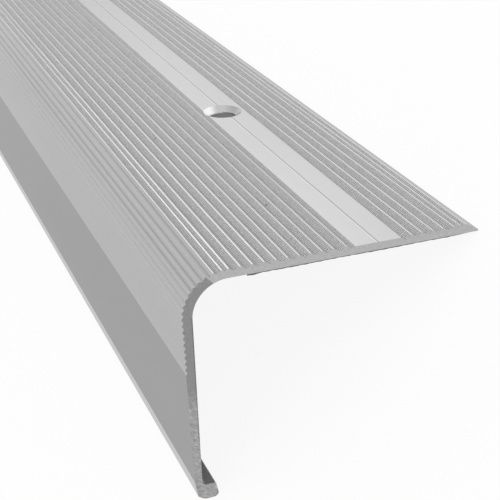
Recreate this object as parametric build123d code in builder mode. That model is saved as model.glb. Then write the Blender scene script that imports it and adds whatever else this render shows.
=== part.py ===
# Anti-slip stair nosing: one aluminium extrusion that is screwed over the front edge of a step
import os
from math import asin, atan2, cos, degrees, radians, tan

from build123d import *

os.makedirs("parts", exist_ok=True)

# Overall sizes, in millimetres (angles in degrees)
length = 900.0
tread_depth = 69.0  # nose to rear edge
leg_height = 55.6  # rib crests of the tread to the foot
leg_lean = 2.2  # the leg closes in on the riser, so that its lip bears on it
tread_thickness = 2.1  # rib crests to underside
leg_thickness = 2.5  # rib crests to inner face, at the bend
foot_thickness = 1.8  # the same at the lip, because the inner face leans less than the front
nose_radius = 9.6  # over the rib crests
inner_radius = 7.8  # inside the bend

# Ribs: all grooves are V shaped with the same flanks, so that closer ribs are also shallower
flank_angle = 32.0
crest_flat = 0.4  # width of the narrow top of each rib of the tread
sharp_flat = 0.1  # the ribs of the nose and the leg are sharper
tread_pitch = 2.61
nose_start = 0.8  # first rib of the nose, past the nose's top
nose_pitch = 1.8
nose_count = 3  # wider grooves over the nose
leg_pitch = 1.5
leg_count = 15  # closer grooves down the nose and the leg
least_nose_gap = 0.4  # between the last rib of the tread and the nose's top
groove_overcut = 0.5  # how far a groove's cut reaches out of the metal

# Rear edge: a bevel with closer ribs in front of it
rear_bevel = 3.2
rear_pitch = 1.53
rear_close_count = 2  # closer grooves beside the bevel
rear_wide_count = 4  # ordinary grooves between them and the screw band
tip_height = 0.35
tip_round = 0.15

# Smooth screw band between the ribs, with a drill guide groove along its middle
band_width = 11.0
band_drop = 0.3  # below the rib crests
band_rear_gap = 2.4  # band to the next rib crest
band_front_gap = 2.0
band_front_pitch = 3.05  # the rib beside the band stands a little apart
guide_width = 0.4
guide_depth = 0.15

# Countersunk screw holes
hole_count = 4
hole_diameter = 7.6
sink_diameter = 10.6
sink_angle = 90.0
end_to_hole = 92.0
hole_offset = 0.6  # in front of the guide groove

# Smooth lower leg with a bevelled foot, and a lip that points to the riser
smooth_drop = 0.1  # smooth face behind the rib crests
bevel_top = 5.1  # above the foot
bevel_depth = 0.5
foot_rise = 1.1  # the front of the foot is higher than the lip
toe_depth = 1.4  # the underside slopes from the front of the foot to its level part
lip_reach = 3.8
lip_height = 3.8
lip_taper = 0.7
foot_round = 0.6
toe_round = 2.5
heel_round = 1.0
lip_round = 0.35
lip_fillet = 0.8

flank_slope = tan(radians(flank_angle))
hole_spacing = (length - 2 * end_to_hole) / (hole_count - 1)

# Rib crests behind the screw band, as runs along the skin from the bevel of the rear edge
skin_rear = tread_depth - rear_bevel + crest_flat / 2
rear_runs = [crest_flat / 2 + step * rear_pitch for step in range(rear_close_count + 1)]
close_end = rear_runs[-1]
rear_runs += [close_end + step * tread_pitch for step in range(1, rear_wide_count + 1)]
band_start = rear_runs[-1] + band_rear_gap
band_end = band_start + band_width
band_middle = skin_rear - (band_start + band_end) / 2
band_shoulder = band_drop / flank_slope + crest_flat / 2
rear_runs.append(band_start + band_shoulder)

# Rib crests of the tread in front of the band, up to the first rib of the nose
nose_top = skin_rear - nose_radius
nose_first = nose_top + nose_start
front_start = band_end + band_front_gap + band_front_pitch
front_count = int((nose_top - least_nose_gap - front_start) / tread_pitch)
front_runs = [band_end - band_shoulder, band_end + band_front_gap]
front_runs += [front_start + step * tread_pitch for step in range(front_count + 1)]
front_runs.append(nose_first)

# Rib crests over the nose and down the leg, where the last groove meets the smooth face
leg_runs = [nose_first + step * nose_pitch for step in range(nose_count + 1)]
nose_end = leg_runs[-1]
leg_runs += [nose_end + step * leg_pitch for step in range(1, leg_count + 1)]
last_groove = leg_runs[-1] - leg_pitch / 2
leg_crest_length = last_groove - nose_top - radians(90 + leg_lean) * nose_radius


def leg_point(depth, level):
    """A point at a depth behind the leg's rib crests and at a level below the tread's rib crests."""
    lean = radians(leg_lean)
    across = nose_radius + (depth - nose_radius) / cos(lean) + (level - nose_radius) * tan(lean)
    return Vector(across, -level)


def cut_groove(skin, upper, lower, flat):
    """Cut the V groove between two rib crests, which are given by their runs along the skin."""
    middle = skin.position_at((upper + lower) / 2, position_mode=PositionMode.LENGTH)
    along = skin.tangent_at((upper + lower) / 2, position_mode=PositionMode.LENGTH)
    outward = along.rotate(Axis.Z, -90)
    half_width = (lower - upper - flat) / 2
    mouth = half_width + groove_overcut / flank_slope
    bottom = middle - outward * half_width * flank_slope
    rim = middle + outward * groove_overcut
    Polygon(bottom, rim - along * mouth, rim + along * mouth, align=None, mode=Mode.SUBTRACT)


with BuildPart() as stair_nosing:
    with BuildSketch(Plane.YZ) as section:
        # Outline of the metal before the grooves are cut
        with BuildLine():
            tread_crests = Line((skin_rear, 0), (nose_radius, 0))
            nose = CenterArc((nose_radius, -nose_radius), nose_radius, 90, 90 + leg_lean)
            down = nose % 1
            leg_crests = Line(nose @ 1, nose @ 1 + down * leg_crest_length)
            smooth_top = leg_crests @ 1 + down.rotate(Axis.Z, 90) * smooth_drop
            bevel_start = leg_point(smooth_drop, leg_height - bevel_top)
            foot_front = leg_point(smooth_drop + bevel_depth, leg_height - foot_rise)
            toe = leg_point(smooth_drop + bevel_depth + toe_depth, leg_height)
            heel = leg_point(foot_thickness + lip_reach, leg_height)
            lip_rear = leg_point(foot_thickness + lip_reach - lip_taper, leg_height - lip_height)
            lip_root = leg_point(foot_thickness, leg_height - lip_height)
            foot = (bevel_start, foot_front, toe, heel, lip_rear, lip_root)
            Polyline(leg_crests @ 1, smooth_top, *foot)
            inner_corner = leg_point(leg_thickness, tread_thickness)
            tip_low = Vector(tread_depth, -tread_thickness)
            tip_high = Vector(tread_depth, tip_height - tread_thickness)
            FilletPolyline(lip_root, inner_corner, tip_low, radius=inner_radius)
            Polyline(tip_low, tip_high, tread_crests @ 0)
        make_face()
        rounded = [(foot_front, foot_round), (toe, toe_round), (heel, heel_round)]
        rounded += [(lip_rear, lip_round), (lip_root, lip_fillet)]
        rounded += [(tip_low, tip_round), (tip_high, tip_round)]
        for corner, radius in rounded:
            fillet(section.vertices().sort_by_distance(corner)[0], radius)

        # The screw band and its guide groove
        with Locations((band_middle, 0)):
            Rectangle(band_width, 2 * band_drop, mode=Mode.SUBTRACT)
        with Locations((band_middle, -band_drop)):
            guide = [(-guide_width / 2, 0), (0, -guide_depth), (guide_width / 2, 0)]
            Polygon(*guide, align=None, mode=Mode.SUBTRACT)

        # The grooves that leave the ribs standing
        skin = Wire([tread_crests, nose, leg_crests])
        for runs, flat in ((rear_runs, crest_flat), (front_runs, crest_flat), (leg_runs, sharp_flat)):
            for upper, lower in zip(runs, runs[1:]):
                cut_groove(skin, upper, lower, flat)
    extrude(amount=length / 2, both=True)

    with Locations((0, band_middle - hole_offset, -band_drop)):
        with GridLocations(hole_spacing, 0, hole_count, 1):
            CounterSinkHole(hole_diameter / 2, sink_diameter / 2, counter_sink_angle=sink_angle)

# Laid on a floor with the ribs up, the piece rests on the lip of its foot and on its rear edge
rounds = section.sketch_local.edges().filter_by(GeomType.CIRCLE)
heel_arc = rounds.sort_by_distance(heel)[0]
tip_arc = rounds.sort_by_distance(tip_low)[0]
span = tip_arc.arc_center - heel_arc.arc_center
tilt = atan2(span.Y, span.X) + asin((heel_arc.radius - tip_arc.radius) / span.length)
stair_nosing.part.move(Rotation(-degrees(tilt), 0, 0))
resting = stair_nosing.part.bounding_box()
stair_nosing.part.move(Location((0, -resting.center().Y, -resting.min.Z)))

stair_nosing.part.label = "stair_nosing"
export_step(stair_nosing.part, "parts/stair_nosing.step")
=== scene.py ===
"""Looks of the anti-slip stair nosing: a finely modelled aluminium extrusion on a pale floor."""
from math import asin, atan2, ceil, cos, degrees, pi, radians, sin, tan

import bmesh
import bpy
from mathutils import Matrix, Vector

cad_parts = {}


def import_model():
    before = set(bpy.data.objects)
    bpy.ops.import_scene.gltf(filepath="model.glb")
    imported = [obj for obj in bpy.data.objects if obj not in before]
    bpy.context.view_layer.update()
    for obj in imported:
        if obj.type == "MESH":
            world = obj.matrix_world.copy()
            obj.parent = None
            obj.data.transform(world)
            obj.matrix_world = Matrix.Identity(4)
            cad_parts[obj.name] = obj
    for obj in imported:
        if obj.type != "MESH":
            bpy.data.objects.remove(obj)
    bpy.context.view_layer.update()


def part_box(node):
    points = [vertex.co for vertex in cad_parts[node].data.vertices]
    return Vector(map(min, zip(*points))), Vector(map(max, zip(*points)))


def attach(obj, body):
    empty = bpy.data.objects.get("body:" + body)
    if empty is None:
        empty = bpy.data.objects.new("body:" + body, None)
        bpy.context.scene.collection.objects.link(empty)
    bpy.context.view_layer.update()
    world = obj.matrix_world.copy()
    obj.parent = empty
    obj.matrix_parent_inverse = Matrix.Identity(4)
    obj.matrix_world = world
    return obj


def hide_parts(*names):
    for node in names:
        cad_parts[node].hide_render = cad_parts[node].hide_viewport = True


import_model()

MM = 0.001

# Sizes of the extrusion as in the part's source, in millimetres and degrees
LENGTH = 900.0
TREAD_DEPTH = 69.0
LEG_HEIGHT = 55.6
LEG_LEAN = 2.2
TREAD_THICKNESS = 2.1
LEG_THICKNESS = 2.5
FOOT_THICKNESS = 1.8
NOSE_RADIUS = 9.6
INNER_RADIUS = 7.8

FLANK_ANGLE = 32.0
CREST_FLAT = 0.4
SHARP_FLAT = 0.1
TREAD_PITCH = 2.61
NOSE_START = 0.8
NOSE_PITCH = 1.8
NOSE_COUNT = 3
LEG_PITCH = 1.5
LEG_COUNT = 15
LEAST_NOSE_GAP = 0.4

REAR_BEVEL = 3.2
REAR_PITCH = 1.53
REAR_CLOSE_COUNT = 2
REAR_WIDE_COUNT = 4
TIP_HEIGHT = 0.35
TIP_ROUND = 0.15

BAND_WIDTH = 11.0
BAND_DROP = 0.3
BAND_REAR_GAP = 2.4
BAND_FRONT_GAP = 2.0
BAND_FRONT_PITCH = 3.05
GUIDE_WIDTH = 0.4
GUIDE_DEPTH = 0.15

HOLE_COUNT = 4
HOLE_DIAMETER = 7.6
SINK_DIAMETER = 10.6
END_TO_HOLE = 92.0
HOLE_OFFSET = 0.6

SMOOTH_DROP = 0.1
BEVEL_TOP = 5.1
BEVEL_DEPTH = 0.5
FOOT_RISE = 1.1
TOE_DEPTH = 1.4
LIP_REACH = 3.8
LIP_HEIGHT = 3.8
LIP_TAPER = 0.7
FOOT_ROUND = 0.6
TOE_ROUND = 2.5
HEEL_ROUND = 1.0
LIP_ROUND = 0.35
LIP_FILLET = 0.8

# What only the looks have: softened edges of the ribs and the band
CREST_ROUND = 0.1
VALLEY_ROUND = 0.1
BAND_EDGE_ROUND = 0.12
BEVEL_EDGE_ROUND = 0.6

# Painted highlight as a bright strip beside the guide groove, and painted shade as darker groove bottoms
# over the nose, as far as a run past its top
GUIDE_GLINT = 0.3
SHADE_WIDTH = 0.22
SHADE_END = 8.5

# Dark strip shaped as a ragged saw burr under the near end of the tread, with one longer tooth near the
# nose; its darkness is painted shade
BURR_START = 14.4
BURR_END = 67.0
BURR_STEP = 0.5
BURR_ROOT = 0.3
BURR_INSET = 0.01
BURR_DROP = 0.2
BURR_FADE = 6.0
TOOTH_PLACE = 15.6
TOOTH_REACH = 2.0
TOOTH_DROP = 0.2

# Fine marks across the tread's ribs, and its dark specks: along the length, back from the nose
HATCH_PITCH = 0.62
HATCH_STRENGTH = 0.42
SPECKS = ((422.3, 30.15), (371.2, 20.0))
SPECK_CORE = 0.15
SPECK_EDGE = 0.42
SPECK_DARKENING = -0.65

# Cutter rings in the countersinks, as radians of their wave per millimetre of depth
RING_WAVE = 40.0

# How finely rounds are divided, in degrees and sides, and how far the hole cutters reach out of the metal
ARC_STEP = 12.0
BEND_STEP = 3.0
BEND_RADIUS = 1.0
HOLE_SIDES = 96
CUT_OVERLAP = 1.0

# Floor, in metres: well inside the space under the piece it keeps more of its own shade
FLOOR_REACH = 8.0
FLOOR_TONE = 0.9
WHITE_SHARE = 0.9
UNDER_SHARE = 0.88
UNDER_X = (0.335, 0.37)
UNDER_Y = (0.028, 0.042)

# Point that the lamps are turned to, in metres
LAMP_AIM = (0.3, 0, 0.03)

FLANK_SLOPE = tan(radians(FLANK_ANGLE))
SKIN_REAR = TREAD_DEPTH - REAR_BEVEL + CREST_FLAT / 2
NOSE_TOP = SKIN_REAR - NOSE_RADIUS
HATCH_END = NOSE_TOP + NOSE_START + NOSE_PITCH / 2
GLINT_END = HATCH_END + NOSE_PITCH

# Places of the two corners that the piece lies on, counted from the end of the section's corners
HEEL = -5
TIP = -1

# Material slots of the extrusion's mesh
SKIN, RIBBED, GROOVE_SHADE, LEG, BAND, CREST_GLINT, BEVEL, SAWN, MACHINED, BURR_SHADE = range(10)


def skin_place(run):
    """Point and outward direction on the skin over the crests, a run from the rear bevel over the nose."""
    past_top = run - NOSE_TOP
    turn = min(max(past_top / NOSE_RADIUS, 0), radians(90 + LEG_LEAN))
    outward = Vector((-sin(turn), cos(turn)))
    along = Vector((-cos(turn), -sin(turn)))
    middle = Vector((NOSE_RADIUS, -NOSE_RADIUS))
    return middle + outward * NOSE_RADIUS + along * (past_top - turn * NOSE_RADIUS), outward


def leg_point(depth, level):
    """A point at a depth behind the leg's crests and at a level below the tread's crests."""
    lean = radians(LEG_LEAN)
    across = NOSE_RADIUS + (depth - NOSE_RADIUS) / cos(lean) + (level - NOSE_RADIUS) * tan(lean)
    return Vector((across, -level))


def cross(a, b):
    """Cross product of two directions in the section."""
    return a.x * b.y - a.y * b.x


def meet(start, along, other, other_along):
    """Where two lines of the section meet."""
    return start + along * (cross(other - start, other_along) / cross(along, other_along))


def crest_runs():
    """Runs of the rib crests behind the screw band and in front of it, and the band's two edges."""
    rear = [CREST_FLAT / 2 + step * REAR_PITCH for step in range(REAR_CLOSE_COUNT + 1)]
    close_end = rear[-1]
    rear += [close_end + step * TREAD_PITCH for step in range(1, REAR_WIDE_COUNT + 1)]
    band_start = rear[-1] + BAND_REAR_GAP
    band_end = band_start + BAND_WIDTH
    shoulder = BAND_DROP / FLANK_SLOPE + CREST_FLAT / 2
    rear.append(band_start + shoulder)

    front_start = band_end + BAND_FRONT_GAP + BAND_FRONT_PITCH
    count = int((NOSE_TOP - LEAST_NOSE_GAP - front_start) / TREAD_PITCH)
    front = [band_end - shoulder, band_end + BAND_FRONT_GAP]
    front += [front_start + step * TREAD_PITCH for step in range(count + 1)]
    front += [NOSE_TOP + NOSE_START + step * NOSE_PITCH for step in range(NOSE_COUNT + 1)]
    nose_end = front[-1]
    front += [nose_end + step * LEG_PITCH for step in range(1, LEG_COUNT + 1)]
    return rear, front, SKIN_REAR - band_start, SKIN_REAR - band_end


def groove(upper, lower):
    """Bottom of the V groove between two crests, and the directions of its two flanks from there."""
    middle, outward = skin_place((upper + lower) / 2)
    back = Vector((outward.y, -outward.x))
    rise = outward * FLANK_SLOPE
    flat = CREST_FLAT if upper < NOSE_TOP else SHARP_FLAT
    depth = (lower - upper - flat) / 2
    return middle - rise * depth, (rise + back).normalized(), (rise - back).normalized()


def flank_slot(run):
    """Slot of a rib's flanks: the tread's are hatched, those of the nose and the leg are plain."""
    return SKIN if run < HATCH_END else RIBBED


def crest_corners(run, start, along, other, other_along):
    """The two corners of a rib's flat crest, between the flank lines behind it and in front of it."""
    top, outward = skin_place(run)
    level = Vector((outward.y, -outward.x))
    # Crests of the tread near the nose take the painted glint colour
    slot = CREST_GLINT if run < GLINT_END else RIBBED
    behind = meet(start, along, top, level)
    before = meet(other, other_along, top, level)
    return [(behind, CREST_ROUND, slot), (before, CREST_ROUND, flank_slot(run))]


def ribs(runs):
    """The grooves along a row of ribs, and the corners from the first groove's bottom to the last one's."""
    grooves = [groove(upper, lower) for upper, lower in zip(runs, runs[1:])]
    corners = [(grooves[0][0], VALLEY_ROUND, SKIN)]
    for run, (bottom, _, forward), (below, backward, after) in zip(runs[1:], grooves, grooves[1:]):
        corners += crest_corners(run, bottom, forward, below, backward)
        # Over the nose the groove bottoms get a darker colour: painted shade
        if flank_slot(run) == SKIN or run > NOSE_TOP + SHADE_END:
            corners.append((below, VALLEY_ROUND, flank_slot(run)))
        else:
            corners.append((below + backward * SHADE_WIDTH, 0, GROOVE_SHADE))
            corners.append((below, VALLEY_ROUND, GROOVE_SHADE))
            corners.append((below + after * SHADE_WIDTH, 0, RIBBED))
    return grooves, corners


def section_corners():
    """Corners of the section, from the rear edge over the ribs to the foot and back inside.

    Each has a place, a round and a slot, which is that of the side that follows the corner.
    The line along the middle of the screw band comes with them.
    """
    rear, front, band_rear, band_front = crest_runs()
    tip_high = Vector((TREAD_DEPTH, TIP_HEIGHT - TREAD_THICKNESS))
    tip_low = Vector((TREAD_DEPTH, -TREAD_THICKNESS))
    band_middle = (band_rear + band_front) / 2
    corners = [(tip_high, TIP_ROUND, RIBBED)]

    # Ribs behind the band, from the bevel of the rear edge
    rear_grooves, rear_corners = ribs(rear)
    bevel_along = (Vector((SKIN_REAR, 0)) - tip_high).normalized()
    corners += crest_corners(rear[0], tip_high, bevel_along, *rear_grooves[0][:2])
    corners += rear_corners

    # Screw band with its guide groove
    guide_front = band_middle - GUIDE_WIDTH / 2
    corners.append((Vector((band_rear, -BAND_DROP)), BAND_EDGE_ROUND, BAND))
    corners.append((Vector((band_middle + GUIDE_WIDTH / 2, -BAND_DROP)), 0, RIBBED))
    corners.append((Vector((band_middle, -BAND_DROP - GUIDE_DEPTH)), 0, RIBBED))
    # Painted highlight: a bright strip in front of the guide groove
    corners.append((Vector((guide_front, -BAND_DROP)), 0, CREST_GLINT))
    corners.append((Vector((guide_front - GUIDE_GLINT, -BAND_DROP)), 0, BAND))
    corners.append((Vector((band_front, -BAND_DROP)), BAND_EDGE_ROUND, SKIN))

    # Ribs of the tread's front, the nose and the leg, down to where the last flank meets the smooth face
    front_grooves, front_corners = ribs(front)
    corners += front_corners
    bottom, _, forward = front_grooves[-1]
    bevel_start = leg_point(SMOOTH_DROP, LEG_HEIGHT - BEVEL_TOP)
    up_face = leg_point(SMOOTH_DROP, NOSE_RADIUS) - bevel_start
    corners.append((meet(bottom, forward, bevel_start, up_face), CREST_ROUND, LEG))

    # Bevel, foot and lip, then back along the inside
    # The bevel's material carries a painted highlight
    corners.append((bevel_start, BEVEL_EDGE_ROUND, BEVEL))
    corners.append((leg_point(SMOOTH_DROP + BEVEL_DEPTH, LEG_HEIGHT - FOOT_RISE), FOOT_ROUND, LEG))
    corners.append((leg_point(SMOOTH_DROP + BEVEL_DEPTH + TOE_DEPTH, LEG_HEIGHT), TOE_ROUND, LEG))
    corners.append((leg_point(FOOT_THICKNESS + LIP_REACH, LEG_HEIGHT), HEEL_ROUND, LEG))
    lip_rear = leg_point(FOOT_THICKNESS + LIP_REACH - LIP_TAPER, LEG_HEIGHT - LIP_HEIGHT)
    corners.append((lip_rear, LIP_ROUND, LEG))
    corners.append((leg_point(FOOT_THICKNESS, LEG_HEIGHT - LIP_HEIGHT), LIP_FILLET, LEG))
    corners.append((leg_point(LEG_THICKNESS, TREAD_THICKNESS), INNER_RADIUS, LEG))
    corners.append((tip_low, TIP_ROUND, LEG))
    return corners, band_middle


def corner_arc(corners, index):
    """Middle of a corner's round, and the spokes to its start and end."""
    corner, radius, _ = corners[index]
    before = (corners[index - 1][0] - corner).normalized()
    after = (corners[(index + 1) % len(corners)][0] - corner).normalized()
    half = before.angle(after) / 2
    middle = corner + (before + after).normalized() * radius / sin(half)
    reach = radius / tan(half)
    return middle, corner + before * reach - middle, corner + after * reach - middle


def rounded(corners):
    """Points of the closed outline with rounded corners, each with the slot of the side that follows."""
    points = []
    for index, (corner, radius, slot) in enumerate(corners):
        if not radius:
            points.append((corner, slot))
            continue
        middle, start, end = corner_arc(corners, index)
        turn = atan2(cross(start, end), start.dot(end))
        finest = BEND_STEP if radius > BEND_RADIUS else ARC_STEP
        steps = max(2, ceil(abs(degrees(turn)) / finest))
        for step in range(steps + 1):
            spoke = Matrix.Rotation(turn * step / steps, 2) @ start
            points.append((middle + spoke, slot))
    return points


def lying_place(corners, outline):
    """From the section in millimetres to the row's frame, laid on the foot's lip and the rear edge."""
    heel_middle = corner_arc(corners, HEEL)[0]
    tip_middle = corner_arc(corners, TIP)[0]
    span = tip_middle - heel_middle
    tilt = atan2(span.y, span.x) + asin((HEEL_ROUND - TIP_ROUND) / span.length)
    turned = Matrix.Diagonal((MM, MM, MM, 1)) @ Matrix.Rotation(-tilt, 4, "X")
    places = [turned @ Vector((-LENGTH / 2, point.x, point.y)) for point, _ in outline]
    low = Vector([min(place[axis] for place in places) for axis in range(3)])
    return Matrix.Translation(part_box("stair_nosing")[0] - low) @ turned


def extruded(outline):
    """The section drawn out along X, with sawn ends."""
    shape = bmesh.new()
    rings = [[shape.verts.new((x, p.x, p.y)) for p, _ in outline] for x in (-LENGTH / 2, LENGTH / 2)]
    for index, (_, slot) in enumerate(outline):
        after = (index + 1) % len(outline)
        corners = (rings[0][index], rings[1][index], rings[1][after], rings[0][after])
        shape.faces.new(corners).material_index = slot
    for ring in rings:
        shape.faces.new(ring).material_index = SAWN
    return shape


def hole_places():
    """Places of the screw holes along the length."""
    spacing = (LENGTH - 2 * END_TO_HOLE) / (HOLE_COUNT - 1)
    return [END_TO_HOLE - LENGTH / 2 + number * spacing for number in range(HOLE_COUNT)]


def screw_hole_cutters(hole_line):
    """Countersunk holes through the screw band, as solids to be taken away."""
    shape = bmesh.new()
    rim = SINK_DIAMETER / 2
    wall = HOLE_DIAMETER / 2
    profile = [(rim + CUT_OVERLAP, CUT_OVERLAP), (wall, wall - rim), (wall, -TREAD_THICKNESS - CUT_OVERLAP)]
    turns = [radians(360 * side / HOLE_SIDES) for side in range(HOLE_SIDES)]
    for x in hole_places():
        rings = []
        for radius, level in profile:
            rings.append([shape.verts.new((x + radius * cos(turn), hole_line + radius * sin(turn),
                                           level - BAND_DROP)) for turn in turns])
        for upper, lower in zip(rings, rings[1:]):
            for side in range(HOLE_SIDES):
                after = (side + 1) % HOLE_SIDES
                shape.faces.new((upper[side], upper[after], lower[after], lower[side]))
        shape.faces.new(rings[0])
        shape.faces.new(rings[-1])
    for face in shape.faces:
        face.material_index = MACHINED
    return shape


def as_object(name, shape, materials):
    """A mesh object from a shape in the section's millimetres."""
    bmesh.ops.recalc_face_normals(shape, faces=shape.faces)
    mesh = bpy.data.meshes.new(name)
    shape.to_mesh(mesh)
    shape.free()
    for material in materials:
        mesh.materials.append(material)
    made = bpy.data.objects.new(name, mesh)
    bpy.context.scene.collection.objects.link(made)
    return made


def add_shade_burr(mesh):
    """A ragged strip shaped as a saw burr under the near end of the tread, whose dark colour is painted
    shade.
    """
    shape = bmesh.new()
    shape.from_mesh(mesh)
    end = LENGTH / 2 - BURR_INSET
    top = BURR_ROOT / 2 - TREAD_THICKNESS
    rings = []
    for step in range(int((BURR_END - BURR_START) / BURR_STEP) + 1):
        y = BURR_START + step * BURR_STEP
        ragged = BURR_DROP + 0.06 * sin(2.9 * y) * sin(0.83 * y + 1.0) + 0.04 * sin(0.31 * y)
        tooth = TOOTH_DROP * min(1.0, max(0.0, TOOTH_REACH - abs(y - TOOTH_PLACE)))
        drop = (ragged + tooth) * min(1.0, (BURR_END - y) / BURR_FADE)
        places = ((end, y, top), (end, y, -TREAD_THICKNESS - drop), (end - BURR_ROOT, y, top))
        rings.append([shape.verts.new(place) for place in places])
    faces = [shape.faces.new(rings[0]), shape.faces.new(rings[-1])]
    for ring, after in zip(rings, rings[1:]):
        for side in range(3):
            other = (side + 1) % 3
            faces.append(shape.faces.new((ring[side], after[side], after[other], ring[other])))
    for face in faces:
        face.material_index = BURR_SHADE
    bmesh.ops.recalc_face_normals(shape, faces=faces)
    shape.to_mesh(mesh)
    shape.free()


def stair_nosing(outline, hole_line, lie, materials):
    """The whole extrusion, drilled, and lying where its solid lies."""
    piece = as_object("stair_nosing_fine", extruded(outline), materials)
    cutters = as_object("screw_holes", screw_hole_cutters(hole_line), materials)
    cut = piece.modifiers.new("screw_holes", "BOOLEAN")
    cut.object = cutters
    cut.operation = "DIFFERENCE"
    cut.solver = "EXACT"
    bpy.context.view_layer.update()
    drilled = bpy.data.meshes.new_from_object(piece.evaluated_get(bpy.context.evaluated_depsgraph_get()))
    piece.modifiers.clear()
    piece.data = drilled
    bpy.data.objects.remove(cutters)
    add_shade_burr(drilled)
    drilled.transform(lie)
    return piece


def add(tree, kind, inputs, **settings):
    """A shader node with its settings, its inputs set to values or linked from other nodes."""
    made = tree.nodes.new("ShaderNode" + kind)
    for setting, value in settings.items():
        setattr(made, setting, value)
    for socket, value in inputs.items():
        if isinstance(value, bpy.types.NodeSocket):
            tree.links.new(value, made.inputs[socket])
        else:
            made.inputs[socket].default_value = value
    return made


def calc(tree, operation, first, second=0.0):
    """The result of a math node on one or two values."""
    return add(tree, "Math", {0: first, 1: second}, operation=operation).outputs[0]


def total(tree, first, *others):
    """Values added up."""
    for other in others:
        first = calc(tree, "ADD", first, other)
    return first


def remap(tree, value, low, high, to_low, to_high):
    """A value taken smoothly from one range to another, and held at its ends."""
    inputs = {"Value": value, "From Min": low, "From Max": high, "To Min": to_low, "To Max": to_high}
    return add(tree, "MapRange", inputs, interpolation_type="SMOOTHSTEP").outputs["Result"]


def noise(tree, place, grain, strength, detail=2.0):
    """Noise about zero, with grains of a size in millimetres along the section's axes."""
    scaled = add(tree, "VectorMath", {0: place, 1: grain}, operation="DIVIDE").outputs[0]
    value = add(tree, "TexNoise", {"Vector": scaled, "Scale": 1.0, "Detail": detail}).outputs["Fac"]
    return calc(tree, "MULTIPLY", calc(tree, "SUBTRACT", value, 0.5), 2 * strength)


def section_place(tree, lie):
    """Coordinates in the section's millimetres: along the length, back from the nose, up from crests."""
    location, rotation, scale = lie.inverted().decompose()
    inputs = {"Vector": add(tree, "TexCoord", {}).outputs["Object"], "Location": location,
              "Rotation": rotation.to_euler(), "Scale": scale}
    return add(tree, "Mapping", inputs).outputs[0]


def metal(name, graze=0.8):
    """A bare metal material with its node tree and its shader.

    The lower its graze, the less it shines at a slant.
    """
    material = bpy.data.materials.new(name)
    material.use_nodes = True
    shader = material.node_tree.nodes["Principled BSDF"]
    shader.inputs["Metallic"].default_value = 1.0
    shader.inputs["Specular Tint"].default_value = (graze, graze, graze, 1)
    return material, material.node_tree, shader


def finish(tree, shader, tone, roughness, height, depth):
    """Link a metal's tone, roughness and relief to its shader. The relief's depth is in millimetres."""
    tree.links.new(tone, shader.inputs["Base Color"])
    tree.links.new(roughness, shader.inputs["Roughness"])
    bump = add(tree, "Bump", {"Height": height, "Strength": 1.0, "Distance": depth * MM})
    tree.links.new(bump.outputs[0], shader.inputs["Normal"])


def hatch(tree, place):
    """Fine marks across the ribs, a little uneven."""
    along = add(tree, "SeparateXYZ", {"Vector": place}).outputs["X"]
    waver = noise(tree, place, (3, 0.8, 0.8), 6.0)
    phase = total(tree, calc(tree, "MULTIPLY", along, 2 * pi / HATCH_PITCH), waver)
    strength = total(tree, HATCH_STRENGTH, noise(tree, place, (6, 2, 2), 0.5))
    marks = calc(tree, "MULTIPLY", calc(tree, "SINE", phase), strength)
    return total(tree, marks, noise(tree, place, (0.3, 0.5, 0.5), 0.4))


def specks(tree, place):
    """Darkening at the small dark specks of the tread."""
    parts = add(tree, "SeparateXYZ", {"Vector": place})
    light = []
    for x, y in SPECKS:
        aside = {"X": calc(tree, "SUBTRACT", parts.outputs["X"], x),
                 "Y": calc(tree, "SUBTRACT", parts.outputs["Y"], y)}
        offset = add(tree, "CombineXYZ", aside).outputs[0]
        distance = add(tree, "VectorMath", {0: offset}, operation="LENGTH").outputs["Value"]
        light.append(remap(tree, distance, SPECK_CORE, SPECK_EDGE, SPECK_DARKENING, 0.0))
    return total(tree, *light)


def anodised_metal(name, lie, tone, roughness, graze=0.8, wear=0.0, hatched=False):
    """Satin anodised aluminium with die lines along the length and fine grain.

    Where it is hatched, it has the tread's fine marks and specks too.
    """
    material, tree, shader = metal(name, graze)
    place = section_place(tree, lie)
    lines = noise(tree, place, (220, 0.35, 0.35), 0.1)
    grain = noise(tree, place, (0.3, 0.3, 0.3), 0.08, detail=3)
    relief = total(tree, lines, grain)
    clouds = noise(tree, place, (140, 30, 30), 0.05)
    worn = noise(tree, place, (30, 2, 2), wear)
    light = total(tree, relief, clouds, worn, 1.0)
    if hatched:
        light = total(tree, light, hatch(tree, place), specks(tree, place))
    shade = calc(tree, "MULTIPLY", light, tone)
    finish(tree, shader, shade, calc(tree, "ADD", relief, roughness), relief, 0.02)
    return material


def crest_glint_metal(name, lie):
    """Rib crests, a little polished, with a painted highlight: a lighter colour that stands in for their
    glints, strongest beside the nose and behind the screw band.
    """
    material, tree, shader = metal(name, graze=0.45)
    place = section_place(tree, lie)
    back = add(tree, "SeparateXYZ", {"Vector": place}).outputs["Y"]
    lines = noise(tree, place, (220, 0.35, 0.35), 0.06)
    worn = noise(tree, place, (30, 2, 2), 0.1)
    # Painted highlight: the crests' colour is lightest near the nose and behind the band, where their
    # glints are
    glint_falloff = remap(tree, back, 8.0, 36.0, 0.67, 0.54)
    glint_beside_nose = remap(tree, back, 6.0, 12.0, 0.15, 0.0)
    glint_behind_band = remap(tree, back, 38.0, 44.0, 0.0, 0.12)
    tone = total(tree, glint_falloff, glint_beside_nose, glint_behind_band)
    shade = calc(tree, "MULTIPLY", total(tree, lines, worn, 1.0), tone)
    finish(tree, shader, shade, calc(tree, "ADD", lines, 0.35), lines, 0.02)
    return material


def burr_shade_metal(name, lie):
    """A very dark colour with a torn grain, which is painted shade."""
    material, tree, shader = metal(name)
    grain = noise(tree, section_place(tree, lie), (0.3, 0.6, 0.3), 0.04)
    finish(tree, shader, calc(tree, "ADD", grain, 0.16), calc(tree, "ADD", grain, 0.55), grain, 0.05)
    return material


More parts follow.
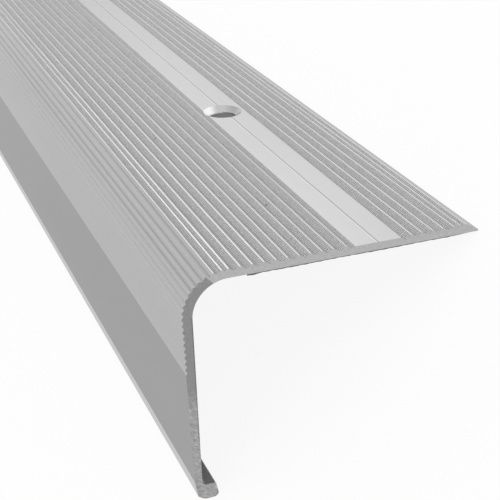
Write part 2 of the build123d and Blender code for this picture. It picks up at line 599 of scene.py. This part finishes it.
def sawn_metal(name, lie):
    """A sawn end with fine saw marks, darker round the nose and mottled down the leg."""
    material, tree, shader = metal(name)
    place = section_place(tree, lie)
    parts = add(tree, "SeparateXYZ", {"Vector": place})
    back, up = parts.outputs["Y"], parts.outputs["Z"]
    turned = add(tree, "Mapping", {"Vector": place, "Rotation": (radians(35), 0, 0)}).outputs[0]
    marks = noise(tree, turned, (9, 7, 0.16), 0.12)
    mottle = noise(tree, turned, (9, 1.3, 0.45), 0.75, detail=4)
    grain = noise(tree, place, (0.25, 0.25, 0.25), 0.08, detail=3)
    blotches = noise(tree, place, (0.9, 0.9, 0.5), 0.16)

    # The dark stretch ends sharply on the nose and fades out down the leg
    border = calc(tree, "ADD", back, calc(tree, "MULTIPLY", up, 0.98))
    on_nose = remap(tree, border, 4.3, 4.7, 1.0, 0.0)
    high = remap(tree, total(tree, up, noise(tree, turned, (9, 2.2, 0.6), 6.0)), -32.0, -26.0, 0.0, 1.0)
    dark = calc(tree, "MULTIPLY", on_nose, high)
    low_leg = calc(tree, "MULTIPLY", on_nose, calc(tree, "SUBTRACT", 1.0, high))

    # A thin dark line along the inner edge of the leg's end, between the bend and the lip
    inner_corner = leg_point(LEG_THICKNESS, TREAD_THICKNESS)
    lip_root = leg_point(FOOT_THICKNESS, LEG_HEIGHT - LIP_HEIGHT)
    lean = (lip_root.x - inner_corner.x) / (lip_root.y - inner_corner.y)
    below_corner = calc(tree, "SUBTRACT", up, inner_corner.y)
    inner_face = calc(tree, "ADD", calc(tree, "MULTIPLY", below_corner, lean), inner_corner.x)
    rim = remap(tree, calc(tree, "SUBTRACT", inner_face, back), 0.1, 0.35, 0.6, 1.0)
    above_line = remap(tree, up, -10.5, -9.5, 0.0, 1.0)
    below_line = remap(tree, up, -42.0, -36.0, 1.0, 0.0)
    edge_line = calc(tree, "MAXIMUM", rim, calc(tree, "MAXIMUM", above_line, below_line))

    tone = total(tree, 0.52, calc(tree, "MULTIPLY", dark, -0.21), calc(tree, "MULTIPLY", low_leg, -0.11))
    half_marks = calc(tree, "MULTIPLY", marks, 0.5)
    light = total(tree, 1.0, grain, blotches, half_marks, calc(tree, "MULTIPLY", mottle, low_leg))
    shade = calc(tree, "MULTIPLY", calc(tree, "MULTIPLY", tone, light), edge_line)
    relief = total(tree, marks, grain)
    finish(tree, shader, shade, calc(tree, "ADD", relief, 0.5), relief, 0.05)
    return material


def machined_metal_and_painted_light(name, lie, hole_line):
    """A countersink with the rings that its cutter left, and painted light: a painted highlight on the side
    of the nose and painted shade on its rear wall.
    """
    material, tree, shader = metal(name, graze=1.0)
    place = section_place(tree, lie)
    parts = add(tree, "SeparateXYZ", {"Vector": place})
    phase = calc(tree, "MULTIPLY", parts.outputs["Z"], RING_WAVE)
    rings = calc(tree, "MULTIPLY", calc(tree, "SINE", phase), 0.06)
    grain = noise(tree, place, (0.2, 0.2, 0.2), 0.06)
    side = calc(tree, "SUBTRACT", parts.outputs["Y"], hole_line)
    # Painted highlight towards the nose's side, painted shade on the rear wall
    tone = remap(tree, side, -2.6, 0.4, 1.0, 0.55)
    rear_wall_painted_shade = remap(tree, side, 1.5, 4.5, 0.0, -0.14)
    shade = total(tree, tone, rear_wall_painted_shade, rings, grain)
    rough = total(tree, 0.3, rings, grain)
    finish(tree, shader, shade, rough, rings, 0.02)
    return material


def backdrop(name):
    """A pale diffuse surface that shows mostly as plain white to the camera and in reflections."""
    material = bpy.data.materials.new(name)
    material.use_nodes = True
    tree = material.node_tree
    tree.nodes.clear()
    path = add(tree, "LightPath", {})
    seen = calc(tree, "MAXIMUM", path.outputs["Is Camera Ray"], path.outputs["Is Glossy Ray"])
    seen = calc(tree, "MAXIMUM", seen, path.outputs["Is Transmission Ray"])

    place = add(tree, "SeparateXYZ", {"Vector": add(tree, "NewGeometry", {}).outputs["Position"]})
    inside = remap(tree, calc(tree, "ABSOLUTE", place.outputs["X"]), *UNDER_X, UNDER_SHARE, 0.0)
    under = remap(tree, calc(tree, "ABSOLUTE", place.outputs["Y"]), *UNDER_Y, 1.0, 0.0)
    open_air = calc(tree, "SUBTRACT", 1.0, calc(tree, "MULTIPLY", inside, under))

    amount = calc(tree, "MULTIPLY", calc(tree, "MULTIPLY", seen, open_air), WHITE_SHARE)
    diffuse = add(tree, "BsdfDiffuse", {"Color": (FLOOR_TONE, FLOOR_TONE, FLOOR_TONE, 1)}).outputs[0]
    white = add(tree, "Emission", {"Color": (1, 1, 1, 1), "Strength": 1.0}).outputs[0]
    mix = add(tree, "MixShader", {"Fac": amount, 1: diffuse, 2: white}).outputs[0]
    add(tree, "OutputMaterial", {"Surface": mix})
    return material


def floor():
    """The wide level floor that the piece lies on."""
    mesh = bpy.data.meshes.new("floor")
    corners = [(FLOOR_REACH * x, FLOOR_REACH * y, 0) for x, y in ((-1, -1), (1, -1), (1, 1), (-1, 1))]
    mesh.from_pydata(corners, [], [(0, 1, 2, 3)])
    mesh.materials.append(backdrop("floor_white"))
    made = bpy.data.objects.new("floor", mesh)
    bpy.context.scene.collection.objects.link(made)


def softbox(name, place, width, height, radiance):
    """A rectangular soft light of a given brightness."""
    lamp = bpy.data.lights.new(name, "AREA")
    lamp.shape = "RECTANGLE"
    lamp.size = width
    lamp.size_y = height
    lamp.energy = radiance * pi * width * height
    made = bpy.data.objects.new(name, lamp)
    made.location = place
    made.rotation_euler = (Vector(LAMP_AIM) - Vector(place)).to_track_quat("-Z", "Y").to_euler()
    made.visible_camera = False
    bpy.context.scene.collection.objects.link(made)


def world():
    """Plain white light from all sides."""
    made = bpy.data.worlds.new("studio")
    made.use_nodes = True
    made.node_tree.nodes["Background"].inputs["Color"].default_value = (1, 1, 1, 1)
    made.node_tree.nodes["Background"].inputs["Strength"].default_value = 1.0
    bpy.context.scene.world = made


def camera():
    """A camera at the photo's viewing angle, with a place in metres and turns in degrees."""
    lens = bpy.data.cameras.new("camera")
    lens.sensor_width = 36
    lens.lens = 83.775
    lens.clip_start = 0.01
    made = bpy.data.objects.new("camera", lens)
    made.location = (0.64660814, 0.01210349, 0.16750600)
    made.rotation_euler = [radians(a) for a in (46.37631, 37.61545, 61.92646)]
    bpy.context.scene.collection.objects.link(made)
    bpy.context.scene.camera = made


corners, band_middle = section_corners()
outline = rounded(corners)
lie = lying_place(corners, outline)
hole_line = band_middle - HOLE_OFFSET

# Materials in the order of the slots
materials = [
    anodised_metal("hatched_skin", lie, tone=0.43, roughness=0.6, graze=1.0, hatched=True),
    # Ribs of the nose and leg: their lighter colour than the plain skin is painted light
    anodised_metal("ribbed_skin_painted_light", lie, tone=0.525, roughness=0.65, graze=0.9),
    # Darker groove bottoms over the nose: painted shade
    anodised_metal("groove_painted_shade", lie, tone=0.45, roughness=0.65, graze=0.9),
    anodised_metal("plain_skin", lie, tone=0.395, roughness=0.5),
    # Smoother screw band: its lower roughness is its finish, its lighter colour a painted sheen
    anodised_metal("smooth_band_painted_sheen", lie, tone=0.575, roughness=0.35, graze=0.47),
    # Tread crests: painted highlight standing in for their glints
    crest_glint_metal("crest_wear_and_glint", lie),
    # Leg's bevel, with some wear; its lighter colour is a painted highlight
    anodised_metal("bevel_painted_highlight", lie, tone=0.64, roughness=0.35, wear=0.08),
    sawn_metal("sawn_end", lie),
    # Countersinks with cutter rings and painted light
    machined_metal_and_painted_light("machined_sink_painted_light", lie, hole_line),
    # Dark strip under the tread's near end: painted shade
    burr_shade_metal("burr_painted_shade", lie),
]
piece = stair_nosing(outline, hole_line, lie, materials)
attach(piece, "root")
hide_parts("stair_nosing")

floor()
world()
softbox("back_softbox", (-0.9, 0.75, 0.2), width=0.8, height=0.5, radiance=1.0)
softbox("front_softbox", (-1.0, -0.25, 0.7), width=1.6, height=0.8, radiance=0.35)
camera()
bpy.context.scene.view_settings.view_transform = "Standard"
